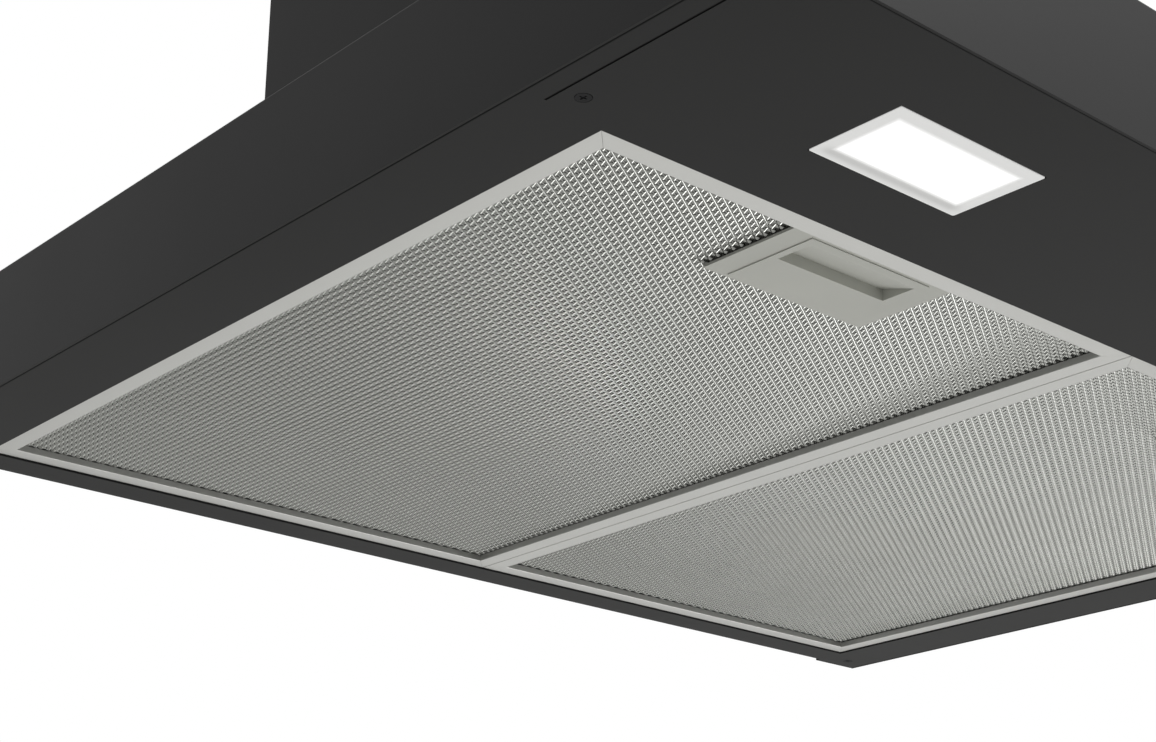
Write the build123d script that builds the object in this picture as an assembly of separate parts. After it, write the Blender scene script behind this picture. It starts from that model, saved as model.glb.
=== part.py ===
"""Wall-hung chimney range hood: flat box canopy, two grease filters and a telescopic chimney.

Millimetres. +X is the hood's right seen from the front, +Y points into the wall and +Z is up.
Pieces are built with z = 0 at the underside of the canopy, and each is written with the origin
moved to the centre of the two wall holes, on the wall's surface.
"""
from build123d import *
from math import cos, exp, log, radians, sin
import os

# Canopy
canopy_width = 600.0
canopy_depth = 500.0
canopy_height = 51.6
sheet = 1.0
shell_corner_radius = 2.0
rear_flange_width = 32.0
rear_panel_recess = 3.2
side_seam_gap = 0.35
front_seam_gap = 0.3
panel_lip_height = 14.0
panel_fold_radius = 0.5
flange_foot_gap = 0.5
lip_end_gap = 0.3
rear_panel_side_gap = 0.3
rear_panel_flange = 8.0
groove_from_side = 9.2
groove_from_front = 22.0
groove_length = 75.0
groove_width = 0.9
groove_depth = 0.4

# Screws of the underside panel and the clips they bite into
panel_screw_from_side = 16.5
panel_screw_from_front = 89.0
panel_screw_from_wall = 11.0
panel_screw_length = 12.0
countersink_radius = 2.8
countersink_throat = 1.7
countersink_gap = 0.28
countersink_rest = 0.06
drive_length = 2.6
drive_width = 0.6
drive_depth = 0.35
clip_sheet = 1.2
clip_reach = 7.0
clip_front_depth = 9.0
clip_rear_depth = 7.0
clip_end_inset = 1.0
clip_lip_gap = 1.0
clip_boss_radius = 4.2

# Openings in the underside
front_strip_depth = 100.0
rear_strip_depth = 20.0
side_strip_width = 33.4
aperture_gap = 0.5

# Lamps
lamp_length = 67.5
lamp_width = 35.6
lamp_center_from_side = 121.0
lamp_center_from_front = 50.6
lamp_gap = 0.3
lamp_housing_height = 22.0
cover_thickness = 2.0
cover_top = 2.4
cover_skin = 1.4
cover_wall = 1.6
cover_bead = 2.0
cover_corner_radius = 0.8
lamp_tray_foot = 2.6
lamp_tray_margin = 4.0
lamp_tray_wall = 1.5
lamp_tray_corner_radius = 3.0
lamp_ear_reach = 9.0
lamp_ear_width = 14.0
lamp_ear_thickness = 1.6
led_board_length = 62.0
led_board_width = 30.0
led_pitch_x = 20.0
led_pitch_y = 7.0
led_size = 3.5
led_height = 0.8

# Grease filters
filter_face_z = 0.7
filter_gap = 0.4
frame_face_width = 8.3
frame_height = 9.5
frame_wall = 1.0
frame_edge_radius = 0.3
frame_back_inset = 1.8
frame_lip_height = 2.8
mitre_gap = 0.12
mesh_sheet = 0.8
core_thickness = 3.2
layer_gap = 0.2
mesh_columns = 12
mesh_rows = 24
mesh_open_share = 0.8
core_columns = 10
core_rows = 14
core_open_share = 0.9
mesh_inset = 1.6
mesh_rim = 1.0
notch_gap = 0.4
core_latch_gap = 4.0
tab_width = 24.0
tab_reach = 6.0
tab_lift = 0.3

# Filter latch
latch_plate_width = 79.0
latch_plate_depth = 43.2
latch_plate_z = 2.2
latch_flange = 3.0
latch_bar_gap = 0.3
latch_housing_top = 9.0
latch_wall = 1.0
slider_width = 59.3
slider_depth = 38.6
slider_front_inset = 2.8
slider_face_z = 1.8
slider_face_thickness = 0.3
latch_travel = 5.0
pocket_width = 53.1
pocket_depth = 14.6
pocket_rise = 4.4
pocket_wall = 0.9
pocket_from_slider_front = 3.6
well_gap = 0.4
tongue_width = 9.0
tongue_thickness = 1.6
tongue_lift = 0.5
tongue_gap = 0.4
tongue_rest = 0.05
tongue_from_slider_end = 3.0
spring_from_middle = 16.0
spring_width = 16.0
spring_height = 3.4
spring_sheet = 0.5
spring_rest = 0.3

# Chimney
chimney_width = 260.0
chimney_depth = 245.0
chimney_length = 583.0
chimney_sheet = 0.8
chimney_flange = 15.0
chimney_slide_gap = 0.8
chimney_raise_at_rest = 150.0
chimney_corner_radius = 1.6
upper_cover_shorter = 4.0
chimney_foot_rear = 60.0
chimney_foot_length = 140.0
chimney_foot_height = 20.0
chimney_foot_reach = 9.0
chimney_foot_gap = 1.6
bracket_sheet = 1.5
bracket_height = 26.0
bracket_below_top = 34.0
bracket_arm = 22.0
bracket_hole_spacing = 160.0
bracket_hole_radius = 3.2
bracket_hole_rise = 13.0
bracket_screw_rise = 14.0
bracket_screw_inset = 8.0
chimney_slot_count = 9
chimney_slot_pitch = 14.0
chimney_slot_width = 6.0
chimney_slot_height = 44.0
chimney_slot_drop = 28.0
chimney_slot_from_rear = 62.0

# Wall plate: its two holes are the origin
hang_height = 100.0
wall_hole_spacing = 180.0
wall_hole_radius = 4.0
wall_plate_width = 212.0
wall_plate_height = 56.0
wall_plate_thickness = 2.0
wall_plate_corner_radius = 6.0
hook_start = 40.0
hook_width = 30.0
hook_rise = 14.0
level_hole_radius = 3.0
level_hole_drop = 18.0

# Blower box and snail casing
blower_box_width = 230.0
blower_box_depth = 224.0
blower_box_height = 240.0
blower_box_rear_gap = 8.0
blower_sheet = 0.8
inlet_opening_width = 196.0
inlet_opening_depth = 186.0
inlet_from_box_rear = 14.0
foot_screw_inset = 8.0
front_foot_inset = 12.0
rear_foot_inset = 6.0
foot_reach = 16.0
foot_depth = 11.0
foot_thickness = 1.5
lid_skirt = 12.0
lid_hole_inset = 1.0
fan_radius = 65.0
fan_inner_radius = 52.0
fan_width = 80.0
fan_center_from_box_front = 92.0
fan_height_above_canopy = 106.0
hub_radius = 11.0
hub_start = -2.0
hub_end = 14.0
hub_fit = 0.03
hub_disc_start = 4.0
hub_disc_thickness = 1.5
hub_disc_overlap = 6.0
end_ring_width = 2.0
end_ring_depth = 8.0
blade_count = 32
blade_thickness = 0.8
blade_sweep = 9.0
blade_bulge = 1.2
scroll_start_radius = 74.0
scroll_end_radius = 106.0
scroll_tongue_angle = 58.0
scroll_wall = 2.2
scroll_width = 110.0
scroll_inlet_radius = 54.0
scroll_top_above_fan = 92.0
scroll_steps = 16
casing_split = 0.1
inlet_collar_length = 6.0
inlet_collar_wall = 3.0

# Motor and its capacitor
motor_radius = 41.0
motor_length = 52.0
motor_face = -6.0
motor_edge_radius = 3.0
motor_boss_radius = 14.0
motor_boss_length = 6.0
bearing_radius = 9.0
bearing_length = 6.0
bearing_wall = 3.0
shaft_radius = 4.0
shaft_proud = 3.0
running_clearance = 0.05
bracket_ring_gap = 6.2
bracket_ring_width = 9.0
arm_width = 10.0
arm_thickness = 2.0
capacitor_radius = 14.0
capacitor_length = 64.0
capacitor_from_wall = 19.0
capacitor_rise = 24.0
strap_width = 16.0

# Outlet
outlet_radius = 75.0
outlet_wall = 1.6
outlet_height = 62.0
outlet_center_from_wall = 96.0
collar_flange_reach = 4.0
collar_flange_thickness = 2.2
collar_screw_inset = 4.0
collar_screw_radius = 1.5
duct_inset = 3.0
duct_stop_rise = 1.4
duct_stop_height = 6.0
flap_pivot_height = 22.0
flap_thickness = 0.8
flap_gap = 0.6
flap_hinge_gap = 0.9
flap_notch = 9.0
flap_stop_gap = 0.3
flap_stop_width = 3.4
flap_knuckle_radius = 3.0
flap_spindle_radius = 1.5
flap_boss_radius = 4.2
flap_boss_depth = 3.5
spindle_fit = 0.03
knuckle_from_outlet = 13.0
knuckle_start = 4.0
knuckle_spacing = 6.0

# Controls
button_count = 5
button_width = 16.0
button_height = 8.0
button_pitch = 21.0
button_travel = 1.8
button_proud = 1.2
button_gap = 0.25
button_cap_depth = 6.0
button_edge_radius = 0.5
button_stem_radius = 1.6
bezel_border = 3.0
bezel_proud = 0.5
bezel_depth = 9.0
bezel_sleeve = 0.9
bezel_slot_gap = 1.2
bezel_corner_radius = 2.0
switch_board_height = 18.0
switch_size = 6.0
switch_height = 4.2
controls_height = 26.0

# Control electronics under the roof
tray_from_side = 24.0
tray_from_wall = 14.0
tray_length = 146.0
tray_depth = 86.0
tray_foot = 22.0
tray_wall = 2.0
board_thickness = 1.6
board_post_height = 4.0
post_inset = 8.0
board_parts = ((14, 50, 14, 48, 18.0), (60, 78, 12, 24, 13.0), (60, 78, 32, 44, 13.0))
terminal_length = 38.0
terminal_depth = 18.0
terminal_height = 13.2
terminal_from_end = 14.0
terminal_from_front = 14.0
terminal_pitch = 12.0
terminal_hole_radius = 2.4
terminal_hole_depth = 5.0

# Cable gland
gland_bore_radius = 4.0
gland_body_radius = 8.0
gland_nut_radius = 10.0
gland_flange_radius = 11.0
gland_nut_height = 3.0
gland_height = 10.0
gland_inset = 24.0

# Shared
seat_gap = 0.2
wall_gap = 0.1
overlap = 0.1
hair = 0.01
past = 1.0
screw_radius = 1.9
screw_hole_radius = 2.1
screw_head_radius = 3.6
screw_head_height = 1.8
screw_socket_radius = 1.4
screw_socket_depth = 1.0

half_width = canopy_width / 2
canopy_front = -canopy_depth
canopy_top = canopy_height
roof_under = canopy_height - sheet
aperture_front = canopy_front + front_strip_depth
aperture_rear = -rear_strip_depth
aperture_half = half_width - side_strip_width
filter_front = aperture_front + aperture_gap
filter_rear = aperture_rear - aperture_gap
filter_outer = aperture_half - aperture_gap
filter_width = filter_outer - filter_gap / 2
filter_depth = filter_rear - filter_front
filter_center_x = (filter_outer + filter_gap / 2) / 2
frame_top = filter_face_z + frame_height
lower_mesh_z = filter_face_z + frame_lip_height + layer_gap
core_z = lower_mesh_z + mesh_sheet + layer_gap
upper_mesh_z = core_z + core_thickness + layer_gap
lamp_x = half_width - lamp_center_from_side
lamp_y = canopy_front + lamp_center_from_front
latch_front = filter_front + frame_face_width + latch_bar_gap
latch_rear = latch_front + latch_plate_depth
latch_box_half = latch_plate_width / 2 - latch_flange
latch_box_rear = latch_rear - latch_flange
tongue_z = latch_plate_z + latch_wall + tongue_lift
slider_front = latch_front + slider_front_inset
slider_rear = slider_front + slider_depth
box_rear = -blower_box_rear_gap
box_front = box_rear - blower_box_depth
box_floor = canopy_top + seat_gap
box_top = box_floor + blower_box_height
fan_y = box_front + fan_center_from_box_front
fan_z = canopy_top + fan_height_above_canopy
scroll_top = fan_z + scroll_top_above_fan
motor_rear = motor_face - motor_length
outlet_y = -outlet_center_from_wall
collar_floor = box_top + seat_gap
flap_z = collar_floor + flap_pivot_height
chimney_foot = canopy_top + seat_gap
upper_foot = chimney_foot + chimney_raise_at_rest
wall_gap_y = -wall_gap
buttons_half_width = (button_count - 1) * button_pitch / 2 + button_width / 2
origin_shift = Location((0, 0, -hang_height))


def save(name, *solids):
    """Write one node: its separate solids, moved so that the wall holes are the origin."""
    flat = []
    for shape in solids:
        flat += list(shape.solids())
    shape = flat[0] if len(flat) == 1 else Compound(children=flat)
    export_step(shape.moved(origin_shift), f"parts/{name}.step")


def block(x0, x1, y0, y1, z0, z1):
    """A box given by its low and high corner on each axis."""
    return Pos((x0 + x1) / 2, (y0 + y1) / 2, (z0 + z1) / 2) * Box(x1 - x0, y1 - y0, z1 - z0)


def plan_block(x, y, length, width, z0, z1):
    """A box given by its centre and size in plan and by its low and high face."""
    return block(x - length / 2, x + length / 2, y - width / 2, y + width / 2, z0, z1)


def rod(axis, radius, start, end, a, b):
    """A round bar along one axis; a and b are its place on the other two, in X, Y, Z order."""
    length = end - start
    middle = (start + end) / 2
    if axis == "x":
        return Pos(middle, a, b) * Rot(0, 90, 0) * Cylinder(radius, length)
    if axis == "y":
        return Pos(a, middle, b) * Rot(90, 0, 0) * Cylinder(radius, length)
    return Pos(a, b, middle) * Cylinder(radius, length)


def tube(axis, outer, inner, start, end, a, b):
    """A round bar with a round bore right through it."""
    return rod(axis, outer, start, end, a, b) - rod(axis, inner, start - past, end + past, a, b)


def screw(axis, a, b, head_at, tip_at, radius=screw_radius):
    """A pan-head screw: the head sits on the far side of head_at from tip_at."""
    toward = 1 if tip_at > head_at else -1
    low, high = sorted((head_at, tip_at))
    shank = rod(axis, radius, low, high, a, b)
    head_end = head_at - toward * screw_head_height
    low, high = sorted((head_at, head_end))
    head = rod(axis, screw_head_radius, low, high, a, b)
    low, high = sorted((head_end - toward * hair, head_end + toward * screw_socket_depth))
    return shank + (head - rod(axis, screw_socket_radius, low, high, a, b))


def canopy_shell():
    """Front, sides and roof folded from one sheet, with two flanges against the wall."""
    outer = block(-half_width, half_width, canopy_front, 0, 0, canopy_height)
    corner_edges = outer.edges().filter_by(Axis.Z).sort_by(Axis.Y)[:2]
    outer = fillet(corner_edges, shell_corner_radius)
    top_edges = outer.faces().sort_by(Axis.Z)[-1].edges()
    top_edges = [edge for edge in top_edges if edge.center().Y < -sheet]
    outer = fillet(top_edges, shell_corner_radius / 2)
    inside = block(-half_width + sheet, half_width - sheet, canopy_front + sheet, past, -past, roof_under)
    shell = outer - inside
    for side in (-1, 1):
        low, high = sorted((side * (half_width - rear_flange_width), side * (half_width - sheet / 2)))
        shell += block(low, high, -sheet, 0, sheet + flange_foot_gap, roof_under + sheet / 2)
    inlet_rear = box_rear - inlet_from_box_rear
    shell -= block(-inlet_opening_width / 2, inlet_opening_width / 2,
                   inlet_rear - inlet_opening_depth, inlet_rear, roof_under - past, canopy_top + past)
    slot_half = buttons_half_width + bezel_slot_gap
    slot_half_z = button_height / 2 + bezel_slot_gap
    shell -= block(-slot_half, slot_half, canopy_front - past, canopy_front + sheet + past,
                   controls_height - slot_half_z, controls_height + slot_half_z)
    for x, y in roof_screw_places():
        shell -= rod("z", screw_hole_radius, roof_under - past, canopy_top + past, x, y)
    return shell


def underside_panel():
    """The flat bottom sheet with its upturned lip, filter aperture and lamp cut-outs."""
    edge = half_width - sheet - side_seam_gap
    front = canopy_front + sheet + front_seam_gap
    rear = -rear_panel_recess
    flange_inner = half_width - rear_flange_width
    plate = block(-edge, edge, front, rear, 0, sheet)
    for side in (-1, 1):
        low, high = sorted((side * flange_inner, side * edge))
        plate += block(low, high, rear - past, -wall_gap, 0, sheet)
        low, high = sorted((side * edge, side * (edge - sheet)))
        plate += block(low, high, front, -sheet - lip_end_gap, 0, panel_lip_height)
    plate += block(-edge, edge, front, front + sheet, 0, panel_lip_height)
    plate = fillet(panel_fold_lines(plate, edge, front), panel_fold_radius)
    plate -= block(-aperture_half, aperture_half, aperture_front, aperture_rear, -past, sheet + past)
    lamp_half = lamp_length / 2 + lamp_gap
    lamp_half_y = lamp_width / 2 + lamp_gap
    for side in (-1, 1):
        plate -= block(side * lamp_x - lamp_half, side * lamp_x + lamp_half,
                       lamp_y - lamp_half_y, lamp_y + lamp_half_y, -past, sheet + past)
        groove_x = side * (half_width - groove_from_side)
        groove_y = canopy_front + groove_from_front
        plate -= block(groove_x - groove_width / 2, groove_x + groove_width / 2,
                       groove_y, groove_y + groove_length, -past, groove_depth)
    for x, y in panel_screw_places():
        plate -= rod("z", countersink_throat, -past, sheet + past, x, y)
        plate -= Pos(x, y, sheet / 2) * Cone(countersink_radius, countersink_throat, sheet)
    return plate


def panel_fold_lines(plate, edge, front):
    """The outer bottom edges of the panel, where its lip is folded up at the front and the sides."""
    lines = [line for line in plate.edges() if line.bounding_box().max.Z < sheet / 2]
    sides = [line for line in lines if abs(abs(line.center().X) - edge) < seat_gap]
    fronts = [line for line in lines if abs(line.center().Y - front) < seat_gap]
    return sides + fronts


def panel_screw_places():
    """Plan places of the four screws that hold the underside panel."""
    x = half_width - panel_screw_from_side
    rows = (canopy_front + panel_screw_from_front, -panel_screw_from_wall)
    return [(side * x, y) for side in (-1, 1) for y in rows]


def panel_screws():
    """Four flush countersunk screws through the side strips of the underside panel."""
    screws = []
    body_radius = countersink_throat - countersink_gap
    for x, y in panel_screw_places():
        head = Pos(x, y, sheet / 2) * Cone(countersink_radius - countersink_gap, body_radius,
                                           sheet - countersink_rest)
        body = rod("z", body_radius, sheet - overlap, panel_screw_length, x, y)
        slot = Box(drive_length, drive_width, 2 * drive_depth)
        cross = slot + Rot(0, 0, 90) * slot
        screws.append(head + body - Pos(x, y, 0) * cross)
    return screws


def panel_brackets():
    """Four angle clips under the roof that the panel screws bite into."""
    clips = []
    foot = panel_lip_height + clip_lip_gap
    for x, y in panel_screw_places():
        side = 1 if x > 0 else -1
        inner = side * (half_width - sheet)
        depth = clip_rear_depth if y > -canopy_depth / 2 else clip_front_depth
        low, high = sorted((inner, x - side * clip_reach))
        clip = block(low, high, y - depth, y + depth - clip_end_inset, foot, foot + clip_sheet)
        low, high = sorted((inner, inner - side * clip_sheet))
        clip += block(low, high, y - depth, y + depth - clip_end_inset, foot, roof_under)
        clip += rod("z", clip_boss_radius, sheet + overlap, foot + clip_sheet / 2, x, y)
        clip -= rod("z", countersink_throat, 0, foot + 2 * clip_sheet, x, y)
        clips.append(clip)
    return clips


def rear_panel():
    """The back sheet between the two wall flanges, set forward of the wall."""
    half = half_width - rear_flange_width - rear_panel_side_gap
    top = roof_under - seat_gap
    rear = -rear_panel_recess
    panel = block(-half, half, rear - sheet, rear, sheet + seat_gap, top)
    return panel + block(-half, half, rear - rear_panel_flange, rear, top - sheet, top)


def lamp_diffuser(side):
    """An opal cover, flush with the panel, with a raised bead round its edge."""
    x = side * lamp_x
    cover = plan_block(x, lamp_y, lamp_length, lamp_width, 0, cover_thickness)
    cover = fillet(cover.edges().filter_by(Axis.Z), cover_corner_radius)
    rim = plan_block(x, lamp_y, lamp_length + 2 * cover_bead, lamp_width + 2 * cover_bead,
                     sheet + overlap, cover_top)
    hollow = plan_block(x, lamp_y, lamp_length - 2 * cover_wall, lamp_width - 2 * cover_wall,
                        cover_skin, cover_top + past)
    return cover + rim - hollow


def lamp_housing(side):
    """A tray behind the cover that holds the lamp's board."""
    x = side * lamp_x
    length = lamp_length + 2 * lamp_tray_margin
    width = lamp_width + 2 * lamp_tray_margin
    top = lamp_tray_foot + lamp_housing_height
    tray = plan_block(x, lamp_y, length, width, lamp_tray_foot, top)
    tray = fillet(tray.edges().filter_by(Axis.Z), lamp_tray_corner_radius)
    tray -= plan_block(x, lamp_y, length - 2 * lamp_tray_wall, width - 2 * lamp_tray_wall,
                       lamp_tray_foot - past, top - lamp_tray_wall)
    for end in (-1, 1):
        low, high = sorted((x + end * (length / 2 - lamp_tray_wall / 3),
                            x + end * (length / 2 + lamp_ear_reach)))
        tray += block(low, high, lamp_y - lamp_ear_width / 2, lamp_y + lamp_ear_width / 2,
                      lamp_tray_foot, lamp_tray_foot + lamp_ear_thickness)
    return tray


def led_boards():
    """One circuit board with six light chips in each lamp tray."""
    boards = []
    for side in (-1, 1):
        x = side * lamp_x
        top = lamp_tray_foot + lamp_housing_height - lamp_tray_wall - seat_gap
        board = plan_block(x, lamp_y, led_board_length, led_board_width, top - board_thickness, top)
        for column in (-1, 0, 1):
            for row in (-1, 1):
                board += plan_block(x + column * led_pitch_x, lamp_y + row * led_pitch_y, led_size, led_size,
                                    top - board_thickness - led_height, top - board_thickness + overlap)
        boards.append(board)
    return boards


def frame_section(length):
    """A folded channel bar along X, its outer face on y = 0 and its mouth towards +Y."""
    low = filter_face_z
    high = frame_top
    inner = frame_face_width
    back = frame_face_width - frame_back_inset
    lip_top = low + frame_lip_height
    outline = Polyline((0, low), (inner, low), (inner, lip_top), (inner - frame_wall, lip_top),
                       (inner - frame_wall, low + frame_wall), (frame_wall, low + frame_wall),
                       (frame_wall, high - frame_wall), (back, high - frame_wall),
                       (back, high), (0, high), close=True)
    face = make_face(Plane.YZ * outline)
    bar = extrude(face, amount=length, dir=(1, 0, 0))
    bottom = [edge for edge in bar.edges().filter_by(Axis.X) if abs(edge.center().Z - low) < seat_gap]
    return fillet(bottom, frame_edge_radius)


def mitred_bar(length):
    """The channel bar cut at 45 degrees at both ends, with half the mitre gap off each."""
    gap = mitre_gap / 2
    width = frame_face_width + past
    plan = Polyline((gap - past, -past), (length - gap + past, -past), (length - gap - width, width),
                    (gap + width, width), close=True)
    trapezoid = extrude(make_face(plan), amount=frame_top + past)
    return frame_section(length) & trapezoid


def filter_frame(side):
    """Four mitred channel bars round one filter, with two tabs behind and a front notch."""
    x0 = side * filter_center_x - filter_width / 2
    x1 = x0 + filter_width
    long_bar = mitred_bar(filter_width)
    short_bar = mitred_bar(filter_depth)
    front = Pos(x0, filter_front, 0) * long_bar
    rear = Pos(x1, filter_rear, 0) * Rot(0, 0, 180) * long_bar
    left = Pos(x0, filter_rear, 0) * Rot(0, 0, -90) * short_bar
    right = Pos(x1, filter_front, 0) * Rot(0, 0, 90) * short_bar
    for offset in (-filter_width / 4, filter_width / 4):
        tab_x = side * filter_center_x + offset
        tab_foot = sheet + tab_lift
        rear += block(tab_x - tab_width / 2, tab_x + tab_width / 2, filter_rear - frame_wall / 2,
                      filter_rear + tab_reach, tab_foot, tab_foot + frame_wall)
    for tongue_x in tongue_places(side):
        half = tongue_width / 2 + tongue_gap
        front -= block(tongue_x - half, tongue_x + half, filter_front - past,
                       filter_front + frame_face_width + past,
                       tongue_z - tongue_gap, tongue_z + tongue_thickness + tongue_gap)
    return [front, rear, left, right]


def tongue_places(side):
    """X of the two latch tongues, near the slider's ends."""
    reach = slider_width / 2 - tongue_width / 2 - tongue_from_slider_end
    return [side * filter_center_x + end * reach for end in (-1, 1)]


def holed_sheet(side, thickness, z, columns, rows, share, notch_half, notch_rear):
    """A flat sheet with a staggered grid of diamond gaps and a notch round the latch."""
    x0 = side * filter_center_x - filter_width / 2 + mesh_inset
    x1 = x0 + filter_width - 2 * mesh_inset
    y0 = filter_front + mesh_inset
    y1 = filter_rear - mesh_inset
    center = side * filter_center_x
    outline = Wire.make_polygon([(x0, y0, z), (center - notch_half, y0, z),
                                 (center - notch_half, notch_rear, z), (center + notch_half, notch_rear, z),
                                 (center + notch_half, y0, z), (x1, y0, z), (x1, y1, z), (x0, y1, z)],
                                close=True)
    pitch_x = (x1 - x0 - 2 * frame_face_width) / columns
    pitch_y = (y1 - y0 - 2 * frame_face_width) / rows
    half_x = pitch_x * share / 2
    half_y = pitch_y * share / 2
    gaps = []
    for row in range(rows):
        stagger = pitch_x / 4 if row % 2 else -pitch_x / 4
        y = y0 + frame_face_width + (row + 0.5) * pitch_y
        for column in range(columns):
            x = x0 + frame_face_width + (column + 0.5) * pitch_x + stagger
            by_latch = abs(x - center) < notch_half + half_x + mesh_rim
            if by_latch and y < notch_rear + half_y + mesh_rim:
                continue
            gaps.append(Wire.make_polygon([(x - half_x, y, z), (x, y - half_y, z),
                                           (x + half_x, y, z), (x, y + half_y, z)], close=True))
    return extrude(Face(outline, gaps), amount=thickness, dir=(0, 0, 1))


def mesh_layer(side, z):
    """One of the two outer sheets of a filter, cut out round the latch's box."""
    return holed_sheet(side, mesh_sheet, z, mesh_columns, mesh_rows, mesh_open_share,
                       latch_box_half + notch_gap, latch_box_rear + notch_gap)


def core_layer(side):
    """The thicker, more open layer between the two outer sheets, cut back further at the latch."""
    return holed_sheet(side, core_thickness, core_z, core_columns, core_rows, core_open_share,
                       latch_plate_width / 2 + core_latch_gap, latch_rear + notch_gap)


def latch_plate(side):
    """The fixed latch housing: a flat plate, and behind it a shallow box that is open at the front."""
    x = side * filter_center_x
    half = latch_plate_width / 2
    floor = latch_plate_z + latch_wall
    box_front_y = latch_front + overlap
    body = block(x - half, x + half, latch_front, latch_rear, latch_plate_z, floor)
    body += block(x - latch_box_half, x + latch_box_half, box_front_y, latch_box_rear,
                  floor - overlap, latch_housing_top)
    body -= block(x - latch_box_half + latch_wall, x + latch_box_half - latch_wall,
                  box_front_y - past, latch_box_rear - latch_wall, floor, latch_housing_top - latch_wall)
    well_half = pocket_width / 2 + pocket_wall + well_gap
    well_front = slider_front + pocket_from_slider_front - pocket_wall - well_gap
    well_rear = well_front + pocket_depth + 2 * (pocket_wall + well_gap) + latch_travel
    body -= block(x - well_half, x + well_half, well_front, well_rear,
                  latch_plate_z - past, floor + overlap)
    return body


def latch_slider(side):
    """The sliding face with its finger pocket and two tongues at the front."""
    x = side * filter_center_x
    half = slider_width / 2
    face_top = slider_face_z + slider_face_thickness
    body = block(x - half, x + half, slider_front, slider_rear, slider_face_z, face_top)
    pocket_front = slider_front + pocket_from_slider_front
    pocket_rear = pocket_front + pocket_depth
    cup_top = slider_face_z + pocket_rise + pocket_wall
    cup_half = pocket_width / 2 + pocket_wall
    body += block(x - cup_half, x + cup_half, pocket_front - pocket_wall, pocket_rear + pocket_wall,
                  face_top - overlap, cup_top)
    wedge = Polyline((pocket_front, slider_face_z - overlap), (pocket_rear, slider_face_z - overlap),
                     (pocket_rear, slider_face_z + pocket_rise), close=True)
    wedge = extrude(make_face(Plane.YZ * wedge), amount=pocket_width, dir=(1, 0, 0))
    body -= Pos(x - pocket_width / 2, 0, 0) * wedge
    for tongue_x in tongue_places(side):
        body += block(tongue_x - tongue_width / 2, tongue_x + tongue_width / 2,
                      filter_front + tongue_rest, pocket_front, tongue_z, tongue_z + tongue_thickness)
    return body


def latch_springs(side):
    """Two bent leaf springs on the housing's rear wall, behind the sliding pocket."""
    cup_rear = slider_front + pocket_from_slider_front + pocket_depth + pocket_wall
    nose_y = cup_rear + latch_travel + spring_rest
    rear = latch_box_rear - latch_wall - overlap
    low = latch_plate_z + latch_wall + spring_rest
    high = low + spring_height
    leaves = []
    for end in (-1, 1):
        leaf_x = side * filter_center_x + end * spring_from_middle
        left = leaf_x - spring_width / 2
        right = leaf_x + spring_width / 2
        foot = block(left, right, rear - spring_sheet, rear, low, high)
        arm = block(left, left + spring_sheet, nose_y, rear - spring_sheet / 2, low, high)
        nose = block(left, right - spring_width / 4, nose_y, nose_y + spring_sheet, low, high)
        leaves.append(foot + arm + nose)
    return leaves


def roof_screw_places():
    """Plan places of the four screws through the blower box's feet."""
    x = blower_box_width / 2 - foot_screw_inset
    rows = (box_front + front_foot_inset, box_rear - rear_foot_inset)
    return [(side * x, y) for side in (-1, 1) for y in rows]


def blower_box():
    """Four galvanised walls round the fan, with feet turned in on the canopy roof."""
    half = blower_box_width / 2
    box = block(-half, half, box_front, box_rear, box_floor, box_top)
    box -= block(-half + blower_sheet, half - blower_sheet, box_front + blower_sheet,
                 box_rear - blower_sheet, box_floor - past, box_top + past)
    for x, y in roof_screw_places():
        side = 1 if x > 0 else -1
        low, high = sorted((side * (half - foot_reach), side * (half - blower_sheet / 2)))
        foot = block(low, high, y - foot_depth / 2, y + foot_depth / 2, box_floor, box_floor + foot_thickness)
        foot -= rod("z", screw_hole_radius, box_floor - past, box_floor + foot_thickness + past, x, y)
        box += foot
    return box


def blower_lid():
    """The top of the blower box, with the round outlet hole and the cable hole."""
    half = blower_box_width / 2 - blower_sheet - seat_gap
    front = box_front + blower_sheet + seat_gap
    rear = box_rear - blower_sheet - seat_gap
    lid = block(-half, half, front, rear, box_top - sheet, box_top)
    skirt = block(-half, half, front, rear, box_top - lid_skirt, box_top - sheet / 2)
    skirt -= block(-half + sheet, half - sheet, front + sheet, rear - sheet,
                   box_top - lid_skirt - past, box_top)
    lid += skirt
    low = box_top - sheet - past
    high = box_top + past
    lid -= rod("z", outlet_radius - outlet_wall - lid_hole_inset, low, high, 0, outlet_y)
    lid -= rod("z", gland_body_radius + seat_gap, low, high, *gland_place())
    for x, y in collar_screw_places():
        lid -= rod("z", collar_screw_radius + 0.1, low, high, x, y)
    return lid


def gland_place():
    """Where the mains cable leaves the blower box."""
    return blower_box_width / 2 - gland_inset, box_front + gland_inset


def collar_screw_places():
    """Four corners of the outlet collar's flange."""
    reach = outlet_radius - collar_screw_inset
    return [(sx * reach, outlet_y + sy * reach) for sx in (-1, 1) for sy in (-1, 1)]


def scroll_solid(offset, low_x, high_x):
    """The snail shape round the fan axis with its upright duct, moved outwards by offset."""
    start = radians(scroll_tongue_angle)
    turn = radians(360 - scroll_tongue_angle)
    growth = log(scroll_end_radius / scroll_start_radius) / turn
    points = []
    for step in range(scroll_steps + 1):
        angle = start + turn * step / scroll_steps
        radius = scroll_start_radius * exp(growth * (angle - start)) + offset
        points.append((radius * cos(angle), radius * sin(angle)))
    edges = [ThreePointArc(*points[index:index + 3]) for index in range(0, scroll_steps, 2)]
    edges.append(Line(points[-1], points[0]))
    face = make_face([Plane.YZ * edge for edge in edges])
    snail = Pos(low_x, fan_y, fan_z) * extrude(face, amount=high_x - low_x, dir=(1, 0, 0))
    duct_front = fan_y + scroll_start_radius * cos(start) - offset
    duct_rear = fan_y + scroll_end_radius + offset
    return snail + block(low_x, high_x, duct_front, duct_rear, fan_z, scroll_top)


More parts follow.
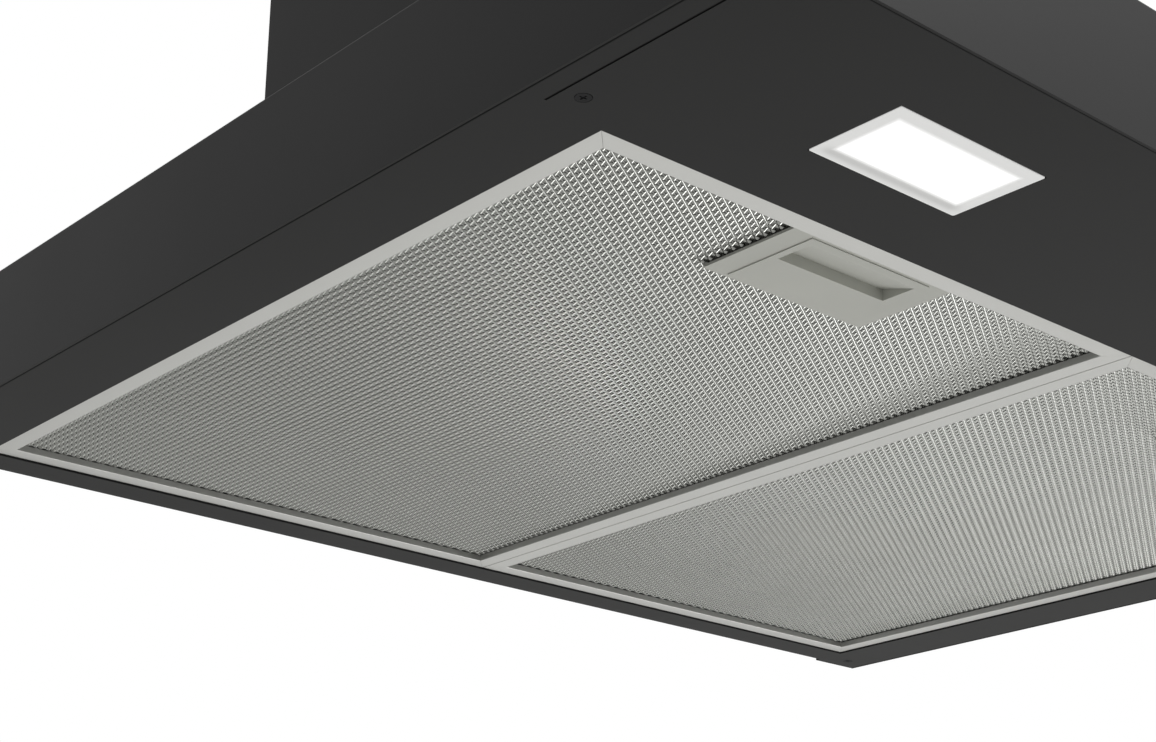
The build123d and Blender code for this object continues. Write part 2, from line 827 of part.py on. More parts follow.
def blower_casing(side):
    """Half of the snail casing: one side plate with its round inlet and half of the rim."""
    half = scroll_width / 2
    low, high = sorted((side * casing_split, side * half))
    casing = scroll_solid(scroll_wall, low, high)
    low, high = sorted((-side * past, side * (half - scroll_wall)))
    casing -= scroll_solid(0, low, high)
    tongue_y = fan_y + scroll_start_radius * cos(radians(scroll_tongue_angle))
    casing -= block(low, high, tongue_y, fan_y + scroll_end_radius, scroll_top - past, scroll_top + past)
    start, end = sorted((side * (half - scroll_wall - past), side * (half + past)))
    casing -= rod("x", scroll_inlet_radius, start, end, fan_y, fan_z)
    low, high = sorted((side * (half - scroll_wall / 4), side * (half + inlet_collar_length)))
    return casing + tube("x", scroll_inlet_radius + inlet_collar_wall, scroll_inlet_radius, low, high,
                         fan_y, fan_z)


def impeller():
    """A double-inlet drum fan: hub disc, forward-curved blades and two end rings."""
    half = fan_width / 2
    wheel = rod("x", fan_inner_radius + hub_disc_overlap, hub_disc_start, hub_disc_start + hub_disc_thickness,
                fan_y, fan_z)
    wheel += rod("x", hub_radius, hub_start, hub_end, fan_y, fan_z)
    for side in (-1, 1):
        low, high = sorted((side * (half - end_ring_width), side * half))
        wheel += tube("x", fan_radius, fan_radius - end_ring_depth, low, high, fan_y, fan_z)
    wheel += tube("x", fan_radius - 1, fan_inner_radius, hub_disc_start - 0.5, hub_disc_start + 2,
                  fan_y, fan_z)
    foot = fan_inner_radius + 1
    tip = fan_radius - 0.5
    middle = (fan_inner_radius + fan_radius) / 2
    front = ThreePointArc((foot, 0), (middle + blade_bulge, blade_sweep / 3), (tip, blade_sweep))
    back = ThreePointArc((tip + 0.2, blade_sweep + blade_thickness),
                         (middle + blade_bulge - 0.5, blade_sweep / 3 + blade_thickness),
                         (foot, blade_thickness))
    outline = (front, Line(front @ 1, back @ 0), back, Line(back @ 1, front @ 0))
    face = make_face([Plane.YZ * edge for edge in outline])
    blade = Pos(1 - half, 0, 0) * extrude(face, amount=fan_width - 2, dir=(1, 0, 0))
    place = Pos(0, fan_y, fan_z)
    wheel = wheel + [place * (Rot(360 / blade_count * index, 0, 0) * blade) for index in range(blade_count)]
    return wheel - rod("x", shaft_radius + hub_fit, hub_start - past, hub_end + past, fan_y, fan_z)


def motor():
    """The motor can inside the fan's left half, with a bore for its shaft and a rear boss."""
    can = rod("x", motor_radius, motor_rear, motor_face, fan_y, fan_z)
    can = fillet([edge for edge in can.edges().filter_by(GeomType.CIRCLE)], motor_edge_radius)
    can += rod("x", motor_boss_radius, motor_rear - motor_boss_length, motor_rear + 0.5, fan_y, fan_z)
    can -= rod("x", shaft_radius + running_clearance, motor_rear + bearing_wall, motor_face + past,
               fan_y, fan_z)
    can -= rod("x", bearing_radius + 0.1, motor_face - bearing_length - 0.1, motor_face + past, fan_y, fan_z)
    can -= rod("x", bearing_radius + 0.1, motor_rear + bearing_wall,
               motor_rear + bearing_wall + bearing_length + 0.1, fan_y, fan_z)
    return can


def motor_bearings():
    """The two plain bushes that carry the shaft in the motor."""
    bore = shaft_radius + running_clearance
    front = tube("x", bearing_radius, bore, motor_face - bearing_length, motor_face - seat_gap, fan_y, fan_z)
    rear_start = motor_rear + bearing_wall + 0.1
    rear = tube("x", bearing_radius, bore, rear_start, rear_start + bearing_length - 0.1, fan_y, fan_z)
    return [front, rear]


def motor_shaft():
    """The steel shaft from the motor through the hub."""
    return rod("x", shaft_radius, motor_rear + bearing_wall + seat_gap, hub_end + shaft_proud, fan_y, fan_z)


def motor_bracket():
    """Three arms from the motor's rear boss to a ring on the left inlet."""
    plane = -scroll_width / 2 - bracket_ring_gap
    boss_rear = motor_rear - motor_boss_length
    ring = tube("x", scroll_inlet_radius + bracket_ring_width, scroll_inlet_radius,
                plane - arm_thickness, plane, fan_y, fan_z)
    hub = tube("x", motor_boss_radius + 6, motor_boss_radius + 0.1, boss_rear, boss_rear + 5, fan_y, fan_z)
    arm = block(plane - arm_thickness, plane, -arm_width / 2, arm_width / 2,
                motor_boss_radius + 3, scroll_inlet_radius + 4)
    place = Pos(0, fan_y, fan_z)
    return ring + hub + [place * (Rot(120 * index, 0, 0) * arm) for index in range(3)]


def capacitor():
    """The motor's run capacitor, lying along the blower box's right wall."""
    x = blower_box_width / 2 - capacitor_from_wall
    z = box_floor + capacitor_rise
    start = fan_y - capacitor_length / 2 - 2
    end = start + capacitor_length
    body = rod("y", capacitor_radius, start, end, x, z)
    body += rod("y", capacitor_radius - 4, end - 1, end + 3, x, z)
    for offset in (-4, 4):
        body += block(x + offset - 0.4, x + offset + 0.4, end + 2, end + 11, z - 3, z + 3)
    return body


def capacitor_clip():
    """A saddle strap that holds the capacitor to the wall of the box."""
    x = blower_box_width / 2 - capacitor_from_wall
    z = box_floor + capacitor_rise
    wall = blower_box_width / 2 - blower_sheet
    low = fan_y - strap_width / 2
    high = fan_y + strap_width / 2
    bore = capacitor_radius + seat_gap
    strap = tube("y", bore + clip_sheet, bore, low, high, x, z)
    strap += block(wall - clip_sheet, wall - 0.1, low, high, z - capacitor_rise, z + capacitor_rise)
    strap += block(x + bore + 0.4, wall - 0.5, low, high, z - 2, z + 2)
    return strap - rod("y", bore, low - past, high + past, x, z)


def outlet_duct():
    """The passage from the snail casing's mouth to the round outlet in the lid."""
    inner_radius = outlet_radius - outlet_wall - duct_inset
    bottom = scroll_top + seat_gap
    top = box_top - sheet - seat_gap
    mouth_rear = fan_y + scroll_end_radius + scroll_wall
    mouth_front = fan_y + scroll_start_radius * cos(radians(scroll_tongue_angle)) - scroll_wall
    center = (mouth_rear + mouth_front) / 2
    span = mouth_rear - mouth_front
    wall = 2 * scroll_wall
    outer_low = Pos(0, center, bottom) * Rectangle(scroll_width, span)
    outer_high = Pos(0, outlet_y, top) * Circle(inner_radius + outlet_wall)
    inner_low = Pos(0, center, bottom - hair) * Rectangle(scroll_width - wall, span - wall)
    inner_high = Pos(0, outlet_y, top + hair) * Circle(inner_radius)
    return loft([outer_low, outer_high]) - loft([inner_low, inner_high])


def outlet_collar():
    """The round spigot that the duct slides over, with a flange and a stop ring for the flaps."""
    top = collar_floor + outlet_height
    inner = outlet_radius - outlet_wall
    collar = tube("z", outlet_radius, inner, collar_floor, top, 0, outlet_y)
    reach = outlet_radius + collar_flange_reach
    flange = block(-reach, reach, outlet_y - reach, outlet_y + reach, collar_floor,
                   collar_floor + collar_flange_thickness)
    flange = fillet(flange.edges().filter_by(Axis.Z), 2 * collar_flange_reach)
    flange -= rod("z", inner, collar_floor - past, collar_floor + collar_flange_thickness + past, 0, outlet_y)
    for x, y in collar_screw_places():
        flange -= rod("z", screw_hole_radius, collar_floor - past,
                      collar_floor + collar_flange_thickness + past, x, y)
    collar += flange
    stop_top = flap_z - flap_thickness / 2 - flap_stop_gap
    collar += tube("z", inner + 0.5, inner - flap_stop_width, stop_top - outlet_wall, stop_top, 0, outlet_y)
    collar += tube("z", outlet_radius + duct_stop_rise, outlet_radius - 0.5, collar_floor,
                   collar_floor + duct_stop_height, 0, outlet_y)
    for end in (-1, 1):
        low, high = sorted((end * (inner - flap_boss_depth), end * (inner + 0.4)))
        collar += rod("x", flap_boss_radius, low, high, outlet_y, flap_z)
        low, high = sorted((end * (inner - flap_boss_depth - 3), end * (inner - 0.4)))
        collar -= rod("x", flap_spindle_radius + spindle_fit, low, high, outlet_y, flap_z)
    return collar


def flap_spindle():
    """The wire that both flaps turn on, across the collar."""
    reach = outlet_radius - outlet_wall - flap_gap
    return rod("x", flap_spindle_radius, -reach, reach, outlet_y, flap_z)


def knuckle_spans(side):
    """Ends of a flap's two knuckles along the spindle; the other flap's lie between them."""
    outer = outlet_radius - knuckle_from_outlet
    length = (outer - knuckle_start - knuckle_spacing) / 2
    near = sorted((-side * knuckle_start, -side * (knuckle_start + length)))
    far = sorted((side * (outer - length), side * outer))
    return [near, far]


def flap(side):
    """A half-disc flap; side is -1 for the front one and 1 for the rear one."""
    radius = outlet_radius - outlet_wall - flap_gap
    low_z = flap_z - flap_thickness / 2
    high_z = flap_z + flap_thickness / 2
    disc = rod("z", radius, low_z, high_z, 0, outlet_y)
    near = outlet_y + side * (flap_knuckle_radius + flap_hinge_gap)
    low, high = sorted((near, outlet_y + side * (radius + past)))
    leaf = disc & block(-radius - past, radius + past, low, high, low_z - past, high_z + past)
    clear = outlet_radius - outlet_wall - flap_boss_depth - flap_hinge_gap
    for end in (-1, 1):
        low, high = sorted((end * clear, end * (radius + past)))
        leaf -= block(low, high, outlet_y - flap_notch, outlet_y + flap_notch, low_z - past, high_z + past)
    for start, end in knuckle_spans(side):
        leaf += rod("x", flap_knuckle_radius, start, end, outlet_y, flap_z)
        low, high = sorted((outlet_y, near + side * past / 2))
        leaf += block(start, end, low, high, low_z, high_z)
    return leaf - rod("x", flap_spindle_radius + running_clearance, -radius, radius, outlet_y, flap_z)


def chimney_cover(width, depth, rear, foot, length):
    """A three-sided folded cover with two flanges turned in along the wall."""
    half = width / 2
    cover = block(-half, half, rear - depth, rear, foot, foot + length)
    cover = fillet(cover.edges().filter_by(Axis.Z).sort_by(Axis.Y)[:2], chimney_corner_radius)
    cover -= block(-half + chimney_sheet, half - chimney_sheet, rear - depth + chimney_sheet,
                   rear - chimney_sheet, foot - past, foot + length + past)
    return cover - block(-half + chimney_flange, half - chimney_flange, rear - chimney_sheet - past,
                         rear + past, foot - past, foot + length + past)


def chimney_lower():
    """The lower, outer chimney cover that stands on the canopy roof."""
    return chimney_cover(chimney_width, chimney_depth, wall_gap_y, chimney_foot, chimney_length)


def upper_rear():
    """The back of the upper cover, inside the lower cover's flanges."""
    return wall_gap_y - chimney_sheet - chimney_slide_gap


def upper_half_width():
    """Half the upper cover's width: it slides inside the lower one."""
    return chimney_width / 2 - chimney_sheet - chimney_slide_gap


def bracket_foot():
    """Height of the lower edge of the bracket in the upper cover."""
    return upper_foot + chimney_length - bracket_below_top


def chimney_upper():
    """The upper, inner cover, with a row of air slots near the top of each side."""
    rear = upper_rear()
    half = upper_half_width()
    depth = chimney_depth - 2 * (chimney_sheet + chimney_slide_gap)
    cover = chimney_cover(2 * half, depth, rear, upper_foot, chimney_length - upper_cover_shorter)
    slot_z = bracket_foot() - chimney_slot_drop
    for side in (-1, 1):
        low, high = sorted((side * (half - 2 * chimney_sheet), side * (half + past)))
        for index in range(chimney_slot_count):
            y = rear - chimney_slot_from_rear - index * chimney_slot_pitch
            cover -= block(low, high, y - chimney_slot_width / 2, y + chimney_slot_width / 2,
                           slot_z - chimney_slot_height / 2, slot_z + chimney_slot_height / 2)
        cover -= rod("y", screw_hole_radius, rear - chimney_sheet - past, rear + past,
                     side * (half - bracket_screw_inset), bracket_foot() + bracket_screw_rise)
    return cover


def chimney_bracket():
    """The bracket inside the upper cover, near its top, with its own two wall holes."""
    half = upper_half_width() - chimney_sheet - seat_gap
    rear = upper_rear() - chimney_sheet - seat_gap
    front = rear - bracket_sheet
    z = bracket_foot()
    plate = block(-half, half, front, rear, z, z + bracket_height)
    for side in (-1, 1):
        low, high = sorted((side * half, side * (half - bracket_sheet)))
        plate += block(low, high, rear - bracket_arm, rear, z, z + bracket_height)
        plate -= rod("y", screw_hole_radius, front - past, rear + past,
                     side * (upper_half_width() - bracket_screw_inset), z + bracket_screw_rise)
        plate -= rod("y", bracket_hole_radius, front - past, rear + past,
                     side * bracket_hole_spacing / 2, z + bracket_hole_rise)
    return plate


def chimney_screws():
    """Two screws from inside, through the bracket into the upper cover's flanges."""
    head_at = upper_rear() - chimney_sheet - seat_gap - bracket_sheet - 0.05
    return [screw("y", side * (upper_half_width() - bracket_screw_inset),
                  bracket_foot() + bracket_screw_rise, head_at, upper_rear() - 0.05)
            for side in (-1, 1)]


def chimney_feet():
    """Two angles on the canopy roof that the lower cover slips over."""
    feet = []
    low_z = canopy_top + 2 * hair
    front = -chimney_foot_rear - chimney_foot_length
    for side in (-1, 1):
        x = side * (chimney_width / 2 - 2 * chimney_sheet - chimney_slide_gap - chimney_foot_gap)
        low, high = sorted((x, x - side * bracket_sheet))
        foot = block(low, high, front, -chimney_foot_rear, low_z, canopy_top + chimney_foot_height)
        low, high = sorted((x, x - side * chimney_foot_reach))
        foot += block(low, high, front, -chimney_foot_rear, low_z, canopy_top + bracket_sheet)
        feet.append(foot)
    return feet


def wall_plate():
    """The hanging plate: its back lies on the wall and its two holes take the wall screws."""
    half = wall_plate_width / 2
    half_z = wall_plate_height / 2
    z = hang_height
    front = -wall_plate_thickness - past
    plate = block(-half, half, -wall_plate_thickness, 0, z - half_z, z + half_z)
    plate = fillet(plate.edges().filter_by(Axis.Y), wall_plate_corner_radius)
    for side in (-1, 1):
        plate -= rod("y", wall_hole_radius, front, past, side * wall_hole_spacing / 2, z)
        low, high = sorted((side * hook_start, side * (hook_start + hook_width)))
        plate += block(low, high, box_rear + 0.1, -wall_plate_thickness / 2, z + hook_rise,
                       z + hook_rise + wall_plate_thickness)
    return plate - rod("y", level_hole_radius, front, past, 0, z - level_hole_drop)


def cable_gland():
    """The bushing in the blower lid that the mains cable would pass through."""
    place = gland_place()
    low = box_top - sheet - gland_nut_height
    body = rod("z", gland_flange_radius, box_top + 0.05, box_top + gland_nut_height + 1, *place)
    body += rod("z", gland_body_radius, low, box_top + gland_height, *place)
    body += rod("z", gland_nut_radius, low, box_top - sheet - 0.05, *place)
    return body - rod("z", gland_bore_radius, low - past, box_top + gland_height + past, *place)


def electronics_tray():
    """The open plastic tray under the canopy roof that holds the control board."""
    x0, x1, y0, y1 = electronics_place()
    tray = block(x0, x1, y0, y1, tray_foot, roof_under - seat_gap)
    return tray - block(x0 + tray_wall, x1 - tray_wall, y0 + tray_wall, y1 - tray_wall,
                        tray_foot + tray_wall, roof_under + past)


def electronics_place():
    """Plan corners of the electronics tray: x low, x high, y low, y high."""
    x_high = half_width - tray_from_side
    return x_high - tray_length, x_high, -tray_from_wall - tray_depth, -tray_from_wall


def control_board():
    """The circuit board with its relay, transformer and connectors."""
    x0, x1, y0, y1 = electronics_place()
    gap = tray_wall + 1
    foot = tray_foot + tray_wall + board_post_height
    board = block(x0 + gap, x1 - gap, y0 + gap, y1 - gap, foot, foot + board_thickness)
    for left, right, near, far, height in board_parts:
        board += block(x0 + left, x0 + right, y0 + near, y0 + far, foot + 1, foot + height)
    for x in (x0 + post_inset, x1 - post_inset):
        for y in (y0 + post_inset, y1 - post_inset):
            board += rod("z", 3, tray_foot + tray_wall + 0.1, foot + 0.5, x, y)
    return board


def terminal_block():
    """The screw terminals where the mains wires end."""
    x0, x1, y0, y1 = electronics_place()
    low = tray_foot + tray_wall + board_post_height + board_thickness + seat_gap
    high = low + terminal_height
    end = x1 - terminal_from_end
    front = y0 + terminal_from_front
    body = block(end - terminal_length, end, front, front + terminal_depth, low, high)
    for index in (-1, 0, 1):
        body -= rod("z", terminal_hole_radius, high - terminal_hole_depth, high + past,
                    end - terminal_length / 2 + index * terminal_pitch, front + terminal_depth / 2)
    return body


def control_bezel():
    """The plastic surround of the push-buttons, clipped into the front of the canopy."""
    half = buttons_half_width
    rim_half = half + bezel_border
    rim_half_z = button_height / 2 + bezel_border
    front = canopy_front - bezel_proud
    z = controls_height
    bezel = block(-rim_half, rim_half, front, canopy_front - 0.02, z - rim_half_z, z + rim_half_z)
    bezel = fillet(bezel.edges().filter_by(Axis.Y), bezel_corner_radius)
    bezel += block(-half - bezel_sleeve, half + bezel_sleeve, canopy_front - 0.1, canopy_front + bezel_depth,
                   z - button_height / 2 - bezel_sleeve, z + button_height / 2 + bezel_sleeve)
    for x in button_places():
        window_x = button_width / 2 + button_gap
        window_z = button_height / 2 - 1 + button_gap
        bezel -= block(x - window_x, x + window_x, front - past, canopy_front + bezel_depth + past,
                       z - window_z, z + window_z)
    return bezel


def button_places():
    """X of each push-button, left to right."""
    return [(index - (button_count - 1) / 2) * button_pitch for index in range(button_count)]


def push_button(x):
    """One push-button cap with a stem behind it."""
    front = canopy_front - bezel_proud - button_proud
    half_z = button_height / 2 - 1
    cap = block(x - button_width / 2, x + button_width / 2, front, front + button_cap_depth,
                controls_height - half_z, controls_height + half_z)
    cap = fillet(cap.faces().sort_by(Axis.Y)[0].edges(), button_edge_radius)
    return cap + rod("y", button_stem_radius, front + button_cap_depth - seat_gap,
                     canopy_front + bezel_depth + 0.5, x, controls_height)


def switch_board():
    """The circuit board behind the buttons, with one tact switch for each."""
    half = buttons_half_width + 4
    half_z = switch_board_height / 2
    y = canopy_front + bezel_depth + 0.5 + button_travel + switch_height + 0.3
    rear = y + board_thickness
    board = block(-half, half, y, rear, controls_height - half_z, controls_height + half_z)
    for x in button_places():
        board += block(x - switch_size / 2, x + switch_size / 2, y - switch_height, y + 0.5,
                       controls_height - switch_size / 2, controls_height + switch_size / 2)
    for side in (-1, 1):
        low, high = sorted((side * (half - 0.5), side * (half + 1.5)))
        board += block(low, high, canopy_front + sheet + 0.1, rear, controls_height - half_z,
                       controls_height + half_z)
    return board


def roof_screws():
    """Four screws that hold the blower box's feet to the canopy roof."""
    return [screw("z", x, y, box_floor + foot_thickness + 0.05, roof_under - 5)
            for x, y in roof_screw_places()]


def collar_screws():
    """Four screws that hold the outlet collar to the lid."""
    head_at = collar_floor + collar_flange_thickness + 0.05
    return [screw("z", x, y, head_at, box_top - 6, radius=collar_screw_radius)
            for x, y in collar_screw_places()]


os.makedirs("parts", exist_ok=True)

save("canopy_shell", canopy_shell())
save("underside_panel", underside_panel())
save("rear_panel", rear_panel())
save("panel_brackets", *panel_brackets())
save("panel_screws", *panel_screws())
save("led_boards", *led_boards())
for name, side in (("left", -1), ("right", 1)):
    save(f"lamp_diffuser_{name}", lamp_diffuser(side))
    save(f"lamp_housing_{name}", lamp_housing(side))
    save(f"filter_frame_{name}", *filter_frame(side))
    save(f"filter_mesh_lower_{name}", mesh_layer(side, lower_mesh_z))
    save(f"filter_core_{name}", core_layer(side))
    save(f"filter_mesh_upper_{name}", mesh_layer(side, upper_mesh_z))
    save(f"latch_housing_{name}", latch_plate(side))
    save(f"latch_slider_{name}", latch_slider(side))
    save(f"latch_springs_{name}", *latch_springs(side))
save("control_bezel", control_bezel())
for name, x in zip(("light", "off", "low", "medium", "high"), button_places()):
    save(f"button_{name}", push_button(x))
save("switch_board", switch_board())
save("electronics_tray", electronics_tray())
save("control_board", control_board())
save("terminal_block", terminal_block())
save("blower_box", blower_box())
save("blower_lid", blower_lid())
save("blower_casing_left", blower_casing(-1))
save("blower_casing_right", blower_casing(1))
save("impeller", impeller())
save("motor", motor())
save("motor_bearings", *motor_bearings())
save("motor_shaft", motor_shaft())
save("motor_bracket", motor_bracket())
save("capacitor", capacitor())
save("capacitor_clip", capacitor_clip())
save("outlet_duct", outlet_duct())
save("outlet_collar", outlet_collar())
save("flap_spindle", flap_spindle())
save("flap_front", flap(-1))
save("flap_rear", flap(1))
save("collar_screws", *collar_screws())
save("roof_screws", *roof_screws())
save("cable_gland", cable_gland())
save("wall_plate", wall_plate())
save("chimney_feet", *chimney_feet())
save("chimney_lower", chimney_lower())
save("chimney_upper", chimney_upper())
save("chimney_bracket", chimney_bracket())
save("chimney_screws", *chimney_screws())
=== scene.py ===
# %% [markdown]
# # A chimney range hood, seen from below
#
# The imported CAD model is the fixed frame: its sheets, channels, screws and blower already have
# their real size. What is left for Blender is what the eye meets first: black powder coat, satin
# filter bars, two fields of bright expanded aluminium, a glowing lamp. The real hood's filters
# have thousands of small slanted strands, far too many for a CAD solid, so those are built here.

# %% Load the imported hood
import math

import bpy
import numpy as np
from mathutils import Matrix, Vector


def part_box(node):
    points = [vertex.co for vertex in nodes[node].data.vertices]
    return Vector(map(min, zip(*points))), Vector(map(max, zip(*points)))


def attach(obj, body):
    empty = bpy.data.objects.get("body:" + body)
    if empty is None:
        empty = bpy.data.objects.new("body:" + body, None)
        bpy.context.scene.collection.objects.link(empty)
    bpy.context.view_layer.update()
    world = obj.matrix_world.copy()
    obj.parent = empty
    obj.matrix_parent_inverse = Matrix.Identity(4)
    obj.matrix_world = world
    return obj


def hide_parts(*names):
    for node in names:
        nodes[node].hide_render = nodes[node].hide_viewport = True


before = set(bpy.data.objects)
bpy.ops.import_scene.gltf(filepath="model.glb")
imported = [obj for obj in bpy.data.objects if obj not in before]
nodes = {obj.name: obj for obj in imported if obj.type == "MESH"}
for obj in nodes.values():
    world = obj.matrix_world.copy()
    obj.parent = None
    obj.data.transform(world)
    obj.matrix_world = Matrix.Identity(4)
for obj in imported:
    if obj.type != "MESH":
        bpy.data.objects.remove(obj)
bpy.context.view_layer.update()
MM = 0.001

# %% [markdown]
# ## The camera
#
# The photograph is a two-point view from the front left, below the hood. Its vanishing points
# give the turn, the tilt and the lens, and the known width of the canopy gives the distance. A
# camera is best built from those angles, because each can then be read and changed on its own.

# %% The photograph's camera
camera_place = (-0.62725, -0.79309, -0.38376)
camera_turn, camera_tilt, camera_roll = 41.80, 21.39, -0.07
lens_length, film_width = 64.5, 36.0

camera_data = bpy.data.cameras.new("photograph_view")
camera_data.lens = lens_length
camera_data.sensor_width = film_width
camera_data.clip_start = 0.01
camera = bpy.data.objects.new("photograph_view", camera_data)
bpy.context.scene.collection.objects.link(camera)
camera.matrix_world = (
    Matrix.Translation(camera_place)
    @ Matrix.Rotation(math.radians(-camera_turn), 4, "Z")
    @ Matrix.Rotation(math.radians(90 + camera_tilt), 4, "X")
    @ Matrix.Rotation(math.radians(camera_roll), 4, "Z")
)
bpy.context.scene.camera = camera
print("camera:", lens_length, "mm lens, tilted up by", camera_tilt, "degrees")

# %% [markdown]
# ## Shader maths as Python
#
# Every finish below is a small formula: a grain, a spangle, a soft edge. Node by node that takes
# many lines, so one class wraps a socket and lets Python's own operators add the Math nodes. A
# second class holds the tree and has one method that makes any other node.

# %% A socket that can be added, multiplied and compared
class Wire:
    """One number on its way through a node tree. An operator on it adds the Math node."""

    def __init__(self, graph, socket):
        self.graph, self.socket = graph, socket

    def math(self, operation, *values):
        """Adds one Math node with these values on its sockets."""
        return self.graph.node("Math", {"operation": operation}, dict(enumerate(values)))

    def __add__(self, other):
        return self.math("ADD", self, other)

    def __radd__(self, other):
        return self.math("ADD", other, self)

    def __sub__(self, other):
        return self.math("SUBTRACT", self, other)

    def __rsub__(self, other):
        return self.math("SUBTRACT", other, self)

    def __mul__(self, other):
        return self.math("MULTIPLY", self, other)

    def __rmul__(self, other):
        return self.math("MULTIPLY", other, self)

    def __abs__(self):
        return self.math("ABSOLUTE", self)

    def __lt__(self, other):
        return self.math("LESS_THAN", self, other)

    def least(self, other):
        """The smaller of two values."""
        return self.math("MINIMUM", self, other)

    def wave(self):
        """The sine, for even stripes."""
        return self.math("SINE", self)

    def rise(self, start, end):
        """0 up to start, 1 from end on, and a soft S between them."""
        settings = {"interpolation_type": "SMOOTHSTEP"}
        inputs = {0: self, 1: start, 2: end, 3: 0.0, 4: 1.0}
        return self.graph.node("MapRange", settings, inputs)


print("helper: Wire")

# %% A node tree with one way of making nodes
class Graph:
    """The nodes of a material or world."""

    def __init__(self, tree):
        self.tree = tree
        tree.nodes.clear()

    def node(self, kind, settings=None, inputs=None, out=0):
        """Makes a node: its settings first, then the values or links of its sockets."""
        made = self.tree.nodes.new("ShaderNode" + kind)
        for name, value in (settings or {}).items():
            setattr(made, name, value)
        for name, value in (inputs or {}).items():
            self.feed(made.inputs[name], value)
        return Wire(self, made.outputs[out])

    def feed(self, socket, value):
        """Links a wire to a socket, or sets the socket's own value."""
        if isinstance(value, Wire):
            self.tree.links.new(value.socket, socket)
        elif isinstance(value, tuple) and len(value) == 3 and socket.type == "RGBA":
            socket.default_value = (*value, 1.0)
        else:
            socket.default_value = value


print("helper: Graph")

# %% [markdown]
# ## A finish is one Principled shader
#
# All patterns are written in millimetres on the Object coordinates. Every object here sits at the
# origin, so those are also the hood's own coordinates, and a pattern can be placed by a real
# distance such as the width of a filter bar.

# %% The shared parts of every finish
class Finish(Graph):
    """A material: the Principled shader, and the patterns that feed it."""

    def __init__(self, name, **constants):
        self.material = bpy.data.materials.new(name)
        self.material.use_nodes = True
        super().__init__(self.material.node_tree)
        self.shader = self.tree.nodes.new("ShaderNodeBsdfPrincipled")
        output = self.tree.nodes.new("ShaderNodeOutputMaterial")
        self.tree.links.new(self.shader.outputs[0], output.inputs["Surface"])
        here = self.node("TexCoord", out="Object")
        self.place = self.node("VectorMath", {"operation": "SCALE"}, {0: here, "Scale": 1 / MM})
        self.x, self.y = (
            self.node("SeparateXYZ", inputs={0: self.place}, out=axis) for axis in (0, 1)
        )
        self.set(**constants)

    def set(self, **sockets):
        """Sets or links the shader's sockets: base_color=..., roughness=..."""
        for name, value in sockets.items():
            label = name.replace("_", " ").title().replace("Ior", "IOR")
            self.feed(self.shader.inputs[label], value)

    def stretched(self, stretch):
        """The place in mm, scaled along each axis."""
        inputs = {"Vector": self.place, "Scale": stretch}
        return self.node("Mapping", {"vector_type": "POINT"}, inputs)

    def noise(self, size, stretch=(1.0, 1.0, 1.0), detail=2.0, at=None):
        """Soft noise from 0 to 1 whose blots are about size mm across."""
        at = at or self.stretched(stretch)
        inputs = {"Vector": at, "Scale": 1.0 / size, "Detail": detail}
        return self.node("TexNoise", None, inputs)

    def cells(self, size, feature="F1", out="Color"):
        """Random cells about size mm across, as a colour or as a distance."""
        inputs = {"Vector": self.place, "Scale": 1.0 / size}
        return self.node("TexVoronoi", {"feature": feature}, inputs, out)

    def blend(self, share, first, second):
        """A colour that goes from first to second as share goes from 0 to 1."""
        return self.node("Mix", {"data_type": "RGBA"}, {0: share, 6: first, 7: second}, 2)

    def shade(self, colour, amount):
        """The colour, multiplied by a value."""
        settings = {"data_type": "RGBA", "blend_type": "MULTIPLY"}
        grey = self.node("CombineColor", None, {0: amount, 1: amount, 2: amount})
        return self.node("Mix", settings, {0: 1.0, 6: colour, 7: grey}, 2)

    def bump(self, height, depth):
        """Feeds a relief of that depth in mm to the shader."""
        inputs = {"Height": height, "Distance": depth * MM, "Strength": 1.0}
        self.set(normal=self.node("Bump", None, inputs, "Normal"))


print("helper: Finish")

# %% [markdown]
# ## Light
#
# A dark, glossy thing shows its surroundings more than its own colour, and bare aluminium shows
# nothing else. So the light is built around what each face reflects: a white backdrop for what
# the camera, gloss and glass see, a softer world for what falls on matt faces, and a pale floor
# below.

# %% The world
world_share = 0.36

world = bpy.data.worlds.new("pale_studio")
bpy.context.scene.world = world
world.use_nodes = True
sky = Graph(world.node_tree)
ray_kinds = ("Is Camera Ray", "Is Glossy Ray", "Is Transmission Ray")
camera_ray, glossy_ray, glass_ray = (sky.node("LightPath", out=kind) for kind in ray_kinds)
seen = (camera_ray + glossy_ray + glass_ray).least(1.0)
strength = seen * (1.0 - world_share) + world_share
backdrop = sky.node("Background", None, {"Color": (1.0, 1.0, 1.0), "Strength": strength})
world_output = sky.tree.nodes.new("ShaderNodeOutputWorld")
sky.tree.links.new(backdrop.socket, world_output.inputs["Surface"])
print("world: a white backdrop that lights matt faces at", world_share)

# %% The floor
floor_level = -1.65
floor_half = 9.0
floor_colour = (0.50, 0.50, 0.49)
darkest_mottle = 0.97

floor_mesh = bpy.data.meshes.new("floor")
corner_signs = [(-1, -1), (1, -1), (1, 1), (-1, 1)]
corners = [(a * floor_half, b * floor_half, floor_level) for a, b in corner_signs]
floor_mesh.from_pydata(corners, [], [(0, 1, 2, 3)])
floor = bpy.data.objects.new("floor", floor_mesh)
bpy.context.scene.collection.objects.link(floor)
plaster = Finish("floor_plaster", roughness=0.9)
mottle = plaster.noise(90.0, detail=4.0)
dark_plaster = tuple(darkest_mottle * c for c in floor_colour)
plaster.set(base_color=plaster.blend(mottle, dark_plaster, floor_colour))
floor_mesh.materials.append(plaster.material)
print("floor:", 2 * floor_half, "m wide, at", floor_level, "m")

